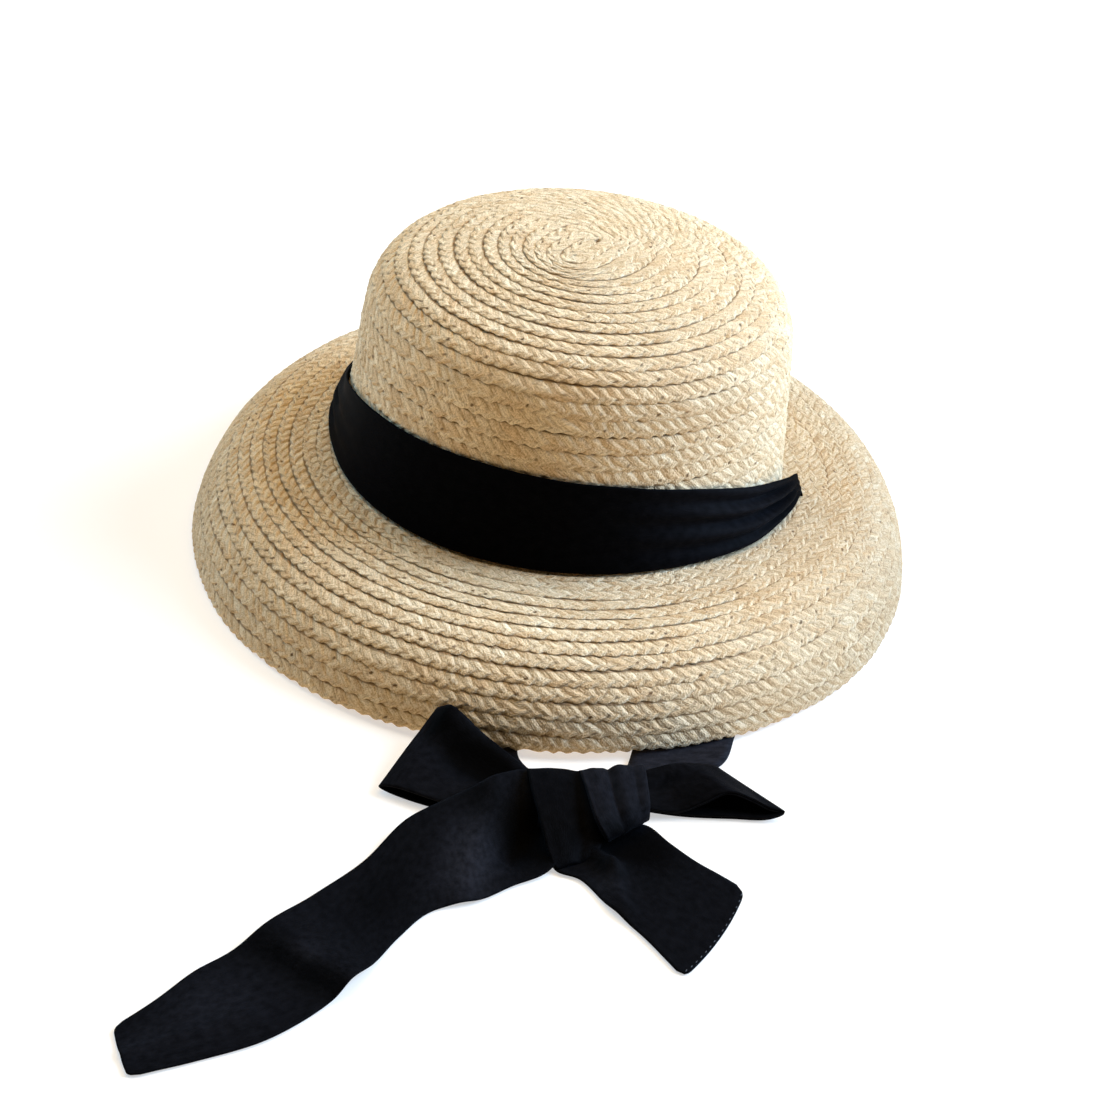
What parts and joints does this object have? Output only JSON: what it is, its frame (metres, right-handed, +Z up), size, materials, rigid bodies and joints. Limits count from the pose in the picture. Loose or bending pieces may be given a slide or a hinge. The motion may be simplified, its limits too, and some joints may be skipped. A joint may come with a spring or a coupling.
{
  "type": "straw sun hat with ribbon tie",
  "caption": "Round-crowned straw braid sun hat with a down-curved bell brim and a wide black cloth ribbon that crosses the crown, passes through the brim and ties in a bow.",
  "frame": {"origin": "on the crown's axis, at the level of the rim and of the table that the hat lies on", "axes": "+Z up along the crown's axis, -Y towards the hat's front, +X to the wearer's left"},
  "size_m": [0.2953, 0.5532, 0.1292],
  "materials": {
    "straw": "natural plaited raffia braid, matt",
    "ribbon": "black woven cotton, matt"
  },
  "bodies": {
    "root": {"crown": "straw", "brim": "straw", "hat_band": "ribbon", "tie_strand_left": "ribbon", "tie_strand_right": "ribbon", "bow_knot": "ribbon", "bow_loop_left": "ribbon", "bow_loop_right": "ribbon", "ribbon_tail_left": "ribbon", "ribbon_tail_right": "ribbon"}
  },
  "joints": []
}
